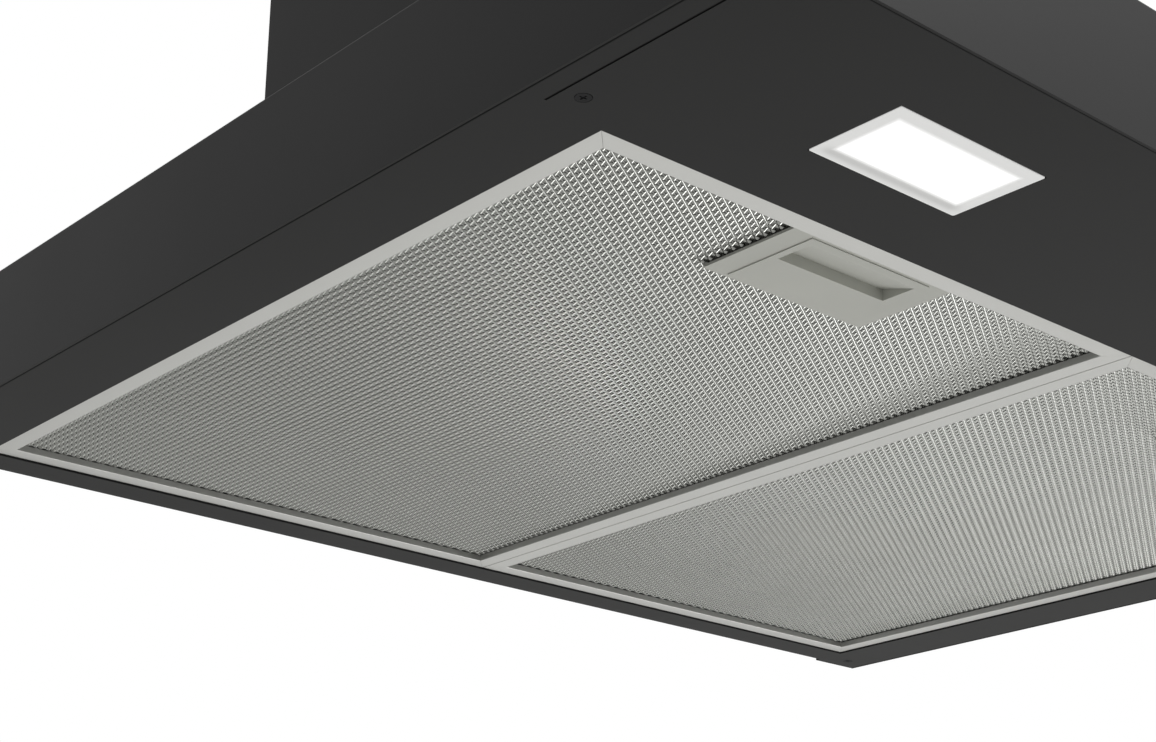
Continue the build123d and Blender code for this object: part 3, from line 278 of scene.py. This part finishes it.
# %% [markdown]
# ## Seven lamps
#
# Three plain softboxes light the front, the floor and the roof. The other four stand where the
# small tilted faces of the mesh mirror them to the photograph's camera, and that place was worked
# out from the faces' directions. A grid on a softbox narrows its beam. Each of the four has one,
# so that it brightens its own part of the mesh and not the bars and the paint beside it. Their
# glints belong to that one view, and lie elsewhere in any other.

# %% Lamps
under_hood = (0.0, -0.25, -0.1)
no_grid = 180.0


def softbox(name, direction, distance, width, height, radiance, aim=under_hood, spread=no_grid):
    """A lamp in that direction from the aim, facing back. A spread under 180 degrees is a grid on
    the box: it shows only near its own axis, and there as bright as radiance says."""
    lamp_data = bpy.data.lights.new(name, "AREA")
    lamp_data.shape = "RECTANGLE"
    lamp_data.size, lamp_data.size_y = width, height
    lamp_data.energy = radiance * math.pi * width * height
    half = math.radians(spread) / 2
    if spread < no_grid:
        lamp_data.spread = 2 * half
        lamp_data.energy *= 1 - half / math.tan(half)
    lamp = bpy.data.objects.new(name, lamp_data)
    bpy.context.scene.collection.objects.link(lamp)
    towards = Vector(direction).normalized()
    facing = towards.to_track_quat("Z", "Y").to_matrix().to_4x4()
    lamp.matrix_world = Matrix.Translation(Vector(aim) + towards * distance) @ facing
    lamp.visible_camera = False


softbox(
    "for_bonds_near", (0.66, -0.02, -0.75), distance=1.35, width=1.4, height=1.4,
    radiance=5.8, aim=(0.0, -0.2, -0.1), spread=29,
)
softbox(
    "for_bonds_far", (0.52, 0.26, -0.81), distance=1.35, width=1.3, height=1.3,
    radiance=1.2, aim=(-0.1, -0.15, -0.1), spread=28,
)
softbox(
    "for_strands_right", (0.44, -0.15, -0.885), distance=1.35, width=1.3, height=1.3,
    radiance=1.0, aim=(0.05, -0.25, -0.1), spread=26,
)
softbox(
    "for_wires", (0.985, 0.06, -0.13), distance=1.5, width=1.3, height=1.1,
    radiance=6.0, aim=(-0.05, -0.25, -0.1), spread=26,
)
softbox(
    "front_left", (-0.7, -0.9, 0.35), distance=3.0, width=1.6, height=1.6, radiance=0.5,
)
softbox(
    "floor_wash", (0.0, 0.0, 1.0), distance=3.15, width=1.2, height=1.2,
    radiance=27.0, aim=(1.9, 1.9, floor_level),
)
softbox(
    "above", (0.50, -0.55, 1.0), distance=3.0, width=0.8, height=0.8, radiance=38.0,
)
print("lamps:", [lamp.name for lamp in bpy.data.lights])

# %% [markdown]
# ## Black powder coat
#
# The canopy and chimney are folded from thin steel and powder coated. Baked powder flows into a
# skin with a very fine, even orange peel, which spreads every reflection into a soft grey. The
# relief is two noises, one about as fine as the powder and one a few millimetres wide.

# %% Powder coat
def powder_coat(name, level):
    """Near-black skin: level is the paint's own grey."""
    coat = Finish(name, specular_ior_level=0.12)
    peel = coat.noise(1.1, detail=1.0) * 0.7 + coat.noise(0.28) * 0.3
    drift = coat.noise(70.0, detail=3.0)
    coat.set(base_color=coat.blend(drift, (level * 0.94,) * 3, (level * 1.06,) * 3))
    coat.set(roughness=drift * 0.06 + coat.noise(0.5) * 0.04 + 0.46)
    coat.bump(peel, 0.012)
    return coat.material


finishes = {
    "canopy_paint": powder_coat("canopy_paint_coat", 0.021),
    "chimney_paint": powder_coat("chimney_paint_coat", 0.017),
}
print("finishes:", len(finishes))

# %% [markdown]
# ## Satin aluminium bars
#
# Each filter has a frame of four channel bars, mitred at the corners. Rolled aluminium has a
# grain along the bar, so the grain has to turn by a right angle at each mitre. Which bar a point
# belongs to is a question of which edge is nearer, and that is a single comparison of two
# distances.

# %% Filter bars
frame_low, frame_high = (np.array(v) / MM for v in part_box("filter_frame_right"))
bar_centre = (frame_low + frame_high) / 2
bar_half = (frame_high - frame_low) / 2


def satin_bars(name):
    """Grain along X near the front and rear edges, and along Y near the side edges."""
    bar = Finish(name, metallic=1.0)
    from_side = bar_half[0] - abs(abs(bar.x) - bar_centre[0])
    from_front = bar_half[1] - abs(bar.y - bar_centre[1])
    along_x = from_front < from_side
    grain_x = bar.noise(0.16, stretch=(0.012, 1.0, 1.0), detail=1.0)
    grain_y = bar.noise(0.16, stretch=(1.0, 0.012, 1.0), detail=1.0)
    grain = along_x * grain_x + (1.0 - along_x) * grain_y
    cloud = bar.noise(25.0, detail=3.0)
    tone = cloud * 0.5 + grain * 0.5
    bar.set(base_color=bar.blend(tone, (0.60, 0.60, 0.58), (0.69, 0.69, 0.67)))
    bar.set(roughness=grain * 0.12 + cloud * 0.05 + 0.34)
    bar.bump(grain, 0.004)
    return bar.material


finishes["filter_aluminium"] = satin_bars("filter_bar_satin")
print("filter bars:", np.round(2 * bar_half, 1), "mm")

# %% [markdown]
# ## Bright cut aluminium
#
# The mesh is cut from bare sheet, so its strands are smooth and mirror what lies round them, with
# small differences from strand to strand. The layer behind shows only as a dull grey glimpse. One
# function makes both. In a metal the base colour is the tint of the reflections, and here it is
# darker than clean aluminium's. It was chosen until the mesh came out as grey as the
# photograph's, and isn't a known tone of the real sheet.

# %% Mesh aluminium
def bright_strand(name, low, high, roughness, metal=1.0):
    """Bare cut aluminium: small differences from strand to strand, and a fine drawn surface."""
    strand = Finish(name, metallic=metal)
    patch = strand.noise(2.2, detail=1.0)
    film = strand.noise(40.0, detail=3.0)
    strand.set(base_color=strand.blend(patch * 0.6 + film * 0.4, low, high))
    strand.set(roughness=patch * 0.06 + film * 0.04 + roughness)
    strand.bump(strand.noise(0.35), 0.01)
    return strand.material


finishes["mesh_aluminium"] = bright_strand(
    "mesh_strand", (0.345, 0.349, 0.33), (0.415, 0.42, 0.40), roughness=0.13
)
foil_finish = bright_strand(
    "pressed_foil", (0.40, 0.405, 0.385), (0.47, 0.475, 0.455), roughness=0.60, metal=0.3
)
print("mesh finish: strand and foil")

# %% [markdown]
# ## Drawn, plated and galvanised steel
#
# The latch springs are drawn strip, the screws are zinc plated, and the blower stands in
# galvanised sheet, whose zinc freezes in flat crystals. Drawn lines are a noise stretched along
# one axis. The crystals are cells of one tone each, which is what a Voronoi pattern gives.

# %% Steels
def brushed(name, low, high, stretch, roughness):
    """Steel with drawn lines: a noise stretched along one axis."""
    steel = Finish(name, metallic=1.0)
    lines = steel.noise(0.2, stretch=stretch, detail=2.0)
    cloud = steel.noise(12.0, detail=2.0)
    steel.set(base_color=steel.blend(lines * 0.6 + cloud * 0.4, low, high))
    steel.set(roughness=lines * 0.14 + cloud * 0.06 + roughness)
    steel.bump(lines, 0.004)
    return steel.material


def galvanised(name):
    """Zinc spangle: cells of slightly different brightness and gloss, with frosted borders."""
    zinc = Finish(name, metallic=0.95)
    spangle = zinc.cells(9.0)
    crystal = zinc.node("SeparateColor", inputs={0: spangle})
    border = zinc.cells(9.0, feature="DISTANCE_TO_EDGE", out="Distance").rise(0.0, 0.08)
    frost = zinc.noise(1.2)
    tone = crystal * 0.7 + frost * 0.3
    zinc.set(base_color=zinc.blend(tone, (0.42, 0.44, 0.46), (0.62, 0.64, 0.66)))
    zinc.set(roughness=crystal * 0.18 + (1.0 - border) * 0.08 + 0.3)
    zinc.bump(border * 0.5 + frost * 0.5, 0.008)
    return zinc.material


finishes["spring_steel"] = brushed(
    "spring_steel_drawn", (0.48, 0.48, 0.47), (0.62, 0.62, 0.61),
    stretch=(0.02, 1.0, 1.0), roughness=0.22,
)
finishes["screw_steel"] = brushed(
    "screw_zinc", (0.46, 0.47, 0.47), (0.62, 0.62, 0.60),
    stretch=(1.0, 1.0, 0.3), roughness=0.25,
)
finishes["galvanised"] = galvanised("zinc_spangle")
print("finishes:", len(finishes))

# %% [markdown]
# ## Moulded plastics
#
# Plastic parts take the fine spark-eroded texture of their mould. They differ in colour, gloss
# and the size of that texture, so one function makes them all.

# %% Plastics and paint
def moulded(name, colour, roughness, texture=0.35, depth=0.012, clear=0.0, gloss=0.5):
    """Matt plastic with an even fine texture and a slow drift of tone."""
    plastic = Finish(name, coat_weight=clear, coat_roughness=0.15, specular_ior_level=gloss)
    eroded = plastic.noise(texture, detail=3.0)
    drift = plastic.noise(30.0, detail=2.0)
    low, high = (tuple(c * share for c in colour) for share in (0.92, 1.08))
    plastic.set(base_color=plastic.blend(drift * 0.6 + eroded * 0.4, low, high))
    plastic.set(roughness=eroded * 0.1 + drift * 0.05 + roughness)
    plastic.bump(eroded, depth)
    return plastic.material


finishes.update({
    "latch_grey": moulded("latch_grey_skin", (0.54, 0.545, 0.50), 0.42, 0.3, 0.006),
    "black_screw": moulded("black_zinc", (0.014, 0.014, 0.015), 0.5, 0.2, 0.004, gloss=0.12),
    "lamp_tray": moulded("lamp_tray_white", (0.78, 0.78, 0.76), 0.5, 0.4, 0.01),
    "fan_plastic": moulded("fan_black", (0.035, 0.035, 0.038), 0.45, 0.5, 0.01),
    "casing_plastic": moulded("casing_grey", (0.2, 0.2, 0.21), 0.5, 0.5, 0.014),
    "capacitor_case": moulded("capacitor_white", (0.72, 0.72, 0.68), 0.3, 0.8, 0.004, clear=0.4),
    "outlet_plastic": moulded("outlet_black", (0.05, 0.05, 0.052), 0.5, 0.5, 0.014),
    "button_plastic": moulded("button_black", (0.03, 0.03, 0.03), 0.4, 0.25, 0.006),
    "gland_nylon": moulded("gland_nylon_black", (0.03, 0.03, 0.032), 0.35, 0.4, 0.006),
})
print("finishes:", len(finishes))

# %% [markdown]
# ## Motor steel, sintered bronze and circuit board
#
# These lie inside, behind the filters and covers. A motor's core is a stack of thin punched
# sheets, so fine rings run round it, and a sine across the stack draws them. A bush is pressed
# from bronze powder, and its pores are small cells. A board's tracks turn at right angles, so the
# noise that draws them is read in square steps.

# %% Inner pieces
def motor_stack(name):
    """Steel punchings pressed into a stack: fine rings across the motor's axis, with dull edges."""
    stack = Finish(name, metallic=0.9)
    sheet_thickness = 0.65
    edge = abs((stack.x * (math.pi / sheet_thickness)).wave())
    stain = stack.noise(6.0, detail=4.0)
    tone = stain * 0.7 + edge * 0.3
    stack.set(base_color=stack.blend(tone, (0.22, 0.22, 0.225), (0.44, 0.44, 0.44)))
    stack.set(roughness=stain * 0.2 + 0.32)
    stack.bump(edge, 0.03)
    return stack.material


def sintered(name):
    """Pressed bronze powder: dark pores between bright grains."""
    metal = Finish(name, metallic=1.0)
    pores = metal.cells(0.3, out="Distance").rise(0.1, 0.5)
    metal.set(base_color=metal.blend(pores, (0.30, 0.19, 0.09), (0.60, 0.43, 0.24)))
    metal.set(roughness=pores * 0.15 + 0.35)
    metal.bump(pores, 0.02)
    return metal.material


def circuit_board(name):
    """Green lacquer over copper: tracks are a coarse maze of lighter lines."""
    board = Finish(name, coat_weight=0.5, coat_roughness=0.2)
    track_step = (1.6, 1.6, 1.6)
    wander = board.node("VectorMath", {"operation": "SNAP"}, {0: board.place, 1: track_step})
    maze = board.noise(7.0, detail=0.0, at=wander)
    track = abs(maze - 0.5).rise(0.03, 0.035)
    board.set(base_color=board.blend(track, (0.05, 0.22, 0.10), (0.015, 0.11, 0.05)))
    board.set(roughness=track * 0.15 + 0.3)
    board.bump(1.0 - track, 0.03)
    return board.material


finishes["motor_steel"] = motor_stack("motor_lamination")
finishes["bronze"] = sintered("sintered_bronze")
finishes["circuit"] = circuit_board("green_board")
print("finishes:", len(finishes))

# %% [markdown]
# ## The lamp's glow
#
# The cover is a frosted sheet with light behind it. Its middle burns out to pure white, and a
# band a few millimetres wide around the edge, where the sheet sits on its tray, stays greyer.
# Light that comes from the surface itself is Emission, and the soft band is the distance to the
# nearest edge.

# %% Opal cover
lamp_low, lamp_high = (np.array(v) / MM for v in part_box("lamp_diffuser_right"))
lamp_centre = (lamp_low + lamp_high) / 2
lamp_length, lamp_width = 67.5, 35.6
lamp_half = (lamp_length / 2, lamp_width / 2)
rim_start, rim_end = 4.2, 8.4
rim_glow, middle_glow = 0.26, 0.74
shadow_depth, frost_depth = 0.16, 0.01


def glowing_opal(name):
    """Emission that rises from the rim to the middle, over a pale matt base."""
    opal = Finish(name, emission_strength=1.0, roughness=0.45)
    from_end = lamp_half[0] - abs(abs(opal.x) - lamp_centre[0])
    from_side = lamp_half[1] - abs(opal.y - lamp_centre[1])
    band = from_end.least(from_side)
    inside = band.rise(rim_start, rim_end)
    from_rear = lamp_half[1] - (opal.y - lamp_centre[1])
    shadow = from_rear.rise(0.5, 3.5) * (1.0 - from_rear.rise(3.5, 8.0))
    shadow = shadow * from_end.rise(0.0, 6.0)
    frost = opal.noise(0.5)
    glow = rim_glow + inside * middle_glow - shadow * shadow_depth + frost * frost_depth
    opal.set(base_color=opal.blend(inside, (0.66, 0.66, 0.65), (0.85, 0.85, 0.85)))
    opal.set(emission_color=opal.shade((1.0, 1.0, 1.0), glow))
    opal.bump(frost, 0.01)
    return opal.material


finishes["lamp_opal"] = glowing_opal("opal_glow")
print("lamp cover centre:", np.round(lamp_centre, 1), "mm")

# %% [markdown]
# ## Dress the CAD nodes
#
# Each node came in with its slot's name as its material, so one loop swaps in the finish for it.

# %% Give each node its finish
for name, node in sorted(nodes.items()):
    slot_name = node.data.materials[0].name
    node.data.materials[0] = finishes[slot_name]
for side in ("left", "right"):
    nodes["filter_core_" + side].data.materials[0] = foil_finish
print("dressed:", len(nodes), "nodes with", len(finishes) + 1, "finishes")

# %% [markdown]
# ## Expanded metal
#
# Expanded sheet is slit in short cuts and pulled open, so every strand tilts out of the sheet's
# plane and the strands meet in short bonds. A flat texture can't show that: the tilt is what
# makes the bonds sparkle and the strands stay grey. One row of the mesh is a zigzag line that
# steps over one bond and down one strand, and a strand's section is a slanted strip carried along
# it. All rows at once are one array, worked out with numpy.
#
# In the photograph the strands of one direction are broad and bright, and those of the other
# hardly show, so every other strand is narrow here. That is a reading of the highlights, not a
# measure.

# %% Strands as one array
long_way, short_way = 5.954, 3.606
half_x, half_y = long_way / 2, short_way / 2
strand_rise = (0.90, -0.45)
bond_length, strand_thickness = 0.30, 0.25
thin_share = 0.28
near_share, far_share = 0.84, 0.16


def ribbon_faces(rows, steps, corners):
    """Quads round each row's tube, and a cap at each end."""
    index = np.arange(rows * steps * corners).reshape(rows, steps, corners)
    after = np.roll(index, -1, axis=2)
    sides = np.stack([index[:, :-1], after[:, :-1], after[:, 1:], index[:, 1:]], axis=-1)
    return np.concatenate([sides.reshape(-1, 4), index[:, 0, ::-1], index[:, -1, :]])


def strand_rows(x_from, x_to, y_from, y_to, z):
    """Zigzag rows. Bond (j, k) is at x = k half-pitches, and at y = j half-pitches plus or minus
    a half by whether j + k is even. The section's width is the slanted strand_rise, and its
    thickness is at right angles to that. Every other strand keeps only thin_share of the width."""
    columns = np.arange(math.ceil(x_from / half_x), math.floor(x_to / half_x) + 1)
    rows = np.arange(math.ceil(y_from / half_y), math.floor(y_to / half_y) + 1)
    row, column = np.meshgrid(rows, columns, indexing="ij")
    side = np.where((row + column) % 2 == 0, -1.0, 1.0)
    share = np.where(side > 0, thin_share, 1.0)
    width = np.array([0.0, *strand_rise])
    thick = np.array([0.0, -width[2], width[1]]) / math.hypot(*strand_rise) * strand_thickness

    flat = np.full(row.shape, z)
    bond = np.stack([column * half_x, (row - side / 2) * half_y, flat], axis=-1)
    off = (side * share)[..., None] * width / 2
    leave, arrive = bond + off, np.roll(bond, -1, axis=1) - off
    centre = bond + side[..., None] * width / 2
    reach = np.array([bond_length / 2, 0.0, 0.0])
    near = leave * near_share + arrive * far_share
    far = leave * far_share + arrive * near_share

    path = np.stack([centre - reach, centre + reach, near, far], axis=2)
    path = path.reshape(len(rows), -1, 3)[:, :-2]
    whole = np.ones_like(share)
    scale = np.stack([whole, whole, share, share], axis=2).reshape(len(rows), -1)[:, :-2]
    across = np.array([-0.5, 0.5, 0.5, -0.5])[:, None] * width
    up = np.array([0.0, 0.0, 1.0, 1.0])[:, None] * thick
    points = path[:, :, None, :] + scale[..., None, None] * across + up
    return points.reshape(-1, 3), ribbon_faces(*points.shape[:3])


points, faces = strand_rows(0.0, 3 * long_way, 0.0, 3 * short_way, 0.0)
print("a patch of", len(faces), "faces")

# %% [markdown]
# ## Bright lines across the mesh
#
# In the photograph thin bright lines run straight across the mesh on one diagonal, midway between
# the bonds. What makes them on the real sheet doesn't show. Straight wires just below the strands
# catch the light in the same places, so they stand for it.

# %% Straight wires
wire_radius, wire_drop = 0.15, 0.32


def cross_wires(x_from, x_to, y_from, y_to, z):
    """Straight four-sided wires along the lattice's diagonal, midway between the bonds: the lines
    y = (2 m + 1.5) half-pitches + slope times x, cut where they leave the rectangle."""
    slope = half_y / half_x
    first = math.floor((y_from - slope * x_to) / short_way) - 1
    last = math.ceil((y_to - slope * x_from) / short_way) + 1
    level = (np.arange(first, last) * 2 + 1.5) * half_y
    start = np.maximum(x_from, (y_from - level) / slope)
    end = np.minimum(x_to, (y_to - level) / slope)
    level, start, end = (values[end - start > half_x] for values in (level, start, end))
    x = np.stack([start, end], axis=1)
    path = np.stack([x, level[:, None] + slope * x, np.full(x.shape, z)], axis=-1)
    across = np.array([-half_y, half_x, 0.0]) / math.hypot(half_x, half_y) * wire_radius
    up = np.array([0.0, 0.0, wire_radius])
    points = path[:, :, None, :] + np.array([-up, across, up, -across])
    return points.reshape(-1, 3), ribbon_faces(*points.shape[:3])


points, faces = cross_wires(0.0, 9 * long_way, 0.0, 9 * short_way, 0.0)
print("a patch of", len(faces), "faces")

# %% [markdown]
# ## From arrays to an object
#
# foreach_set hands a whole numpy array to the mesh at once, which is far quicker than a loop when
# a filter has hundreds of thousands of faces. The faces are flat, because each facet has its own
# glint.

# %% A mesh object from arrays
def make_piece(name, points, faces, material, body, slot_name, replaced=()):
    """Puts arrays of points in mm and of quads into a mesh, and has it ride on a body."""
    mesh = bpy.data.meshes.new(name)
    mesh.vertices.add(len(points))
    mesh.vertices.foreach_set("co", (points * MM).astype(np.float32).ravel())
    mesh.loops.add(faces.size)
    mesh.loops.foreach_set("vertex_index", faces.astype(np.int32).ravel())
    mesh.polygons.add(len(faces))
    loop_starts = np.arange(0, faces.size, faces.shape[1], dtype=np.int32)
    mesh.polygons.foreach_set("loop_start", loop_starts)
    mesh.polygons.foreach_set("use_smooth", np.full(len(faces), False))
    mesh.update(calc_edges=True)
    mesh.validate()
    mesh.materials.append(material)
    piece = bpy.data.objects.new(name, mesh)
    bpy.context.scene.collection.objects.link(piece)
    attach(piece, body)
    if replaced:
        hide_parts(*replaced)


def joined(blocks):
    """Several (points, faces) blocks as one."""
    starts = np.cumsum([0] + [len(points) for points, _ in blocks[:-1]])
    return (
        np.concatenate([points for points, _ in blocks]),
        np.concatenate([faces + start for (_, faces), start in zip(blocks, starts)]),
    )


print("helpers: make_piece and joined")

# %% [markdown]
# ## The layer behind
#
# A grease filter is a pack of several sheets of mesh. Through the front one only a dull grey
# shows, so one thin closed plate stands for the next layer, just below the CAD core. It also
# keeps the core's coarse holes from showing as dark blots.

# %% Backing plate
backing_thickness = 0.08
backing_drop = 1.5 * backing_thickness


def slab(x_from, x_to, y_from, y_to, z):
    """A closed plate: the eight corners of its box, and six quads."""
    height = (z, z + backing_thickness)
    x, y, level = np.meshgrid((x_from, x_to), (y_from, y_to), height, indexing="ij")
    corners = np.stack([x, y, level], axis=-1).reshape(-1, 3)
    return corners, np.array([
        (0, 1, 3, 2), (4, 6, 7, 5), (0, 4, 5, 1), (2, 3, 7, 6), (0, 2, 6, 4), (1, 5, 7, 3),
    ])


print("backing:", backing_thickness, "mm thick")

# %% [markdown]
# ## The two filters
#
# The mesh ends behind the bars, and leaves out a rectangle for the latch. It is made in a front,
# a middle and a rear piece, because one piece of that many faces would be thinned when it is
# saved. Each cut lies midway between two zigzag rows, so that no row is made twice or left out.

# %% The fields of mesh
under_bar = 4.5
rear_clearance = 1.0
latch_gap = 0.3
latch_flange = 3.0
above_lip = 0.2
front_share, middle_share = 0.36, 0.68


def field(x_from, x_to, y_from, y_to, z):
    """One rectangle of strands with its wires."""
    wires = cross_wires(x_from, x_to, y_from, y_to, z - wire_drop)
    return joined([strand_rows(x_from, x_to, y_from, y_to, z), wires])


for side in ("left", "right"):
    low, high = (np.array(v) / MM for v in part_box("filter_frame_" + side))
    latch_low, latch_high = (np.array(v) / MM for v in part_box("latch_housing_" + side))
    sheet_low, sheet_high = (np.array(v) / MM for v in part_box("filter_mesh_lower_" + side))
    x_from, x_to = low[0] + under_bar, high[0] - under_bar
    y_from, y_to = low[1] + under_bar, sheet_high[1] - rear_clearance
    z = sheet_low[2] - above_lip - strand_rise[1]
    beside = latch_flange - latch_gap
    latch_left, latch_right = latch_low[0] + beside, latch_high[0] - beside
    depth = y_to - y_from
    cuts = (latch_high[1] - beside, y_from + depth * front_share, y_from + depth * middle_share)
    step, third, two_thirds = (
        math.floor(cut / half_y) * half_y + half_y / 2 for cut in cuts
    )

    backing_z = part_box("filter_core_" + side)[0][2] / MM - backing_drop
    backing = joined([
        slab(x_from, latch_left, y_from, step, backing_z),
        slab(latch_right, x_to, y_from, step, backing_z),
        slab(x_from, x_to, step, y_to, backing_z),
    ])
    make_piece("filter_backing_" + side, *backing, foil_finish, "filter_" + side, "mesh_aluminium")

    front = joined([
        field(x_from, latch_left, y_from, step, z),
        field(latch_right, x_to, y_from, step, z),
        field(x_from, x_to, step, third, z),
    ])
    middle = field(x_from, x_to, third, two_thirds, z)
    rear = field(x_from, x_to, two_thirds, y_to, z)
    for part_name, (points, faces) in (("front", front), ("middle", middle), ("rear", rear)):
        replaced = ["filter_mesh_lower_" + side] if part_name == "front" else []
        make_piece(
            f"filter_strands_{side}_{part_name}", points, faces,
            finishes["mesh_aluminium"], "filter_" + side, "mesh_aluminium", replaced,
        )
        print("mesh field", side, part_name, 2 * len(faces), "triangles")

# %% [markdown]
# ## Colour management

# %% Colour management
bpy.context.scene.view_settings.view_transform = "Standard"
bpy.context.view_layer.update()
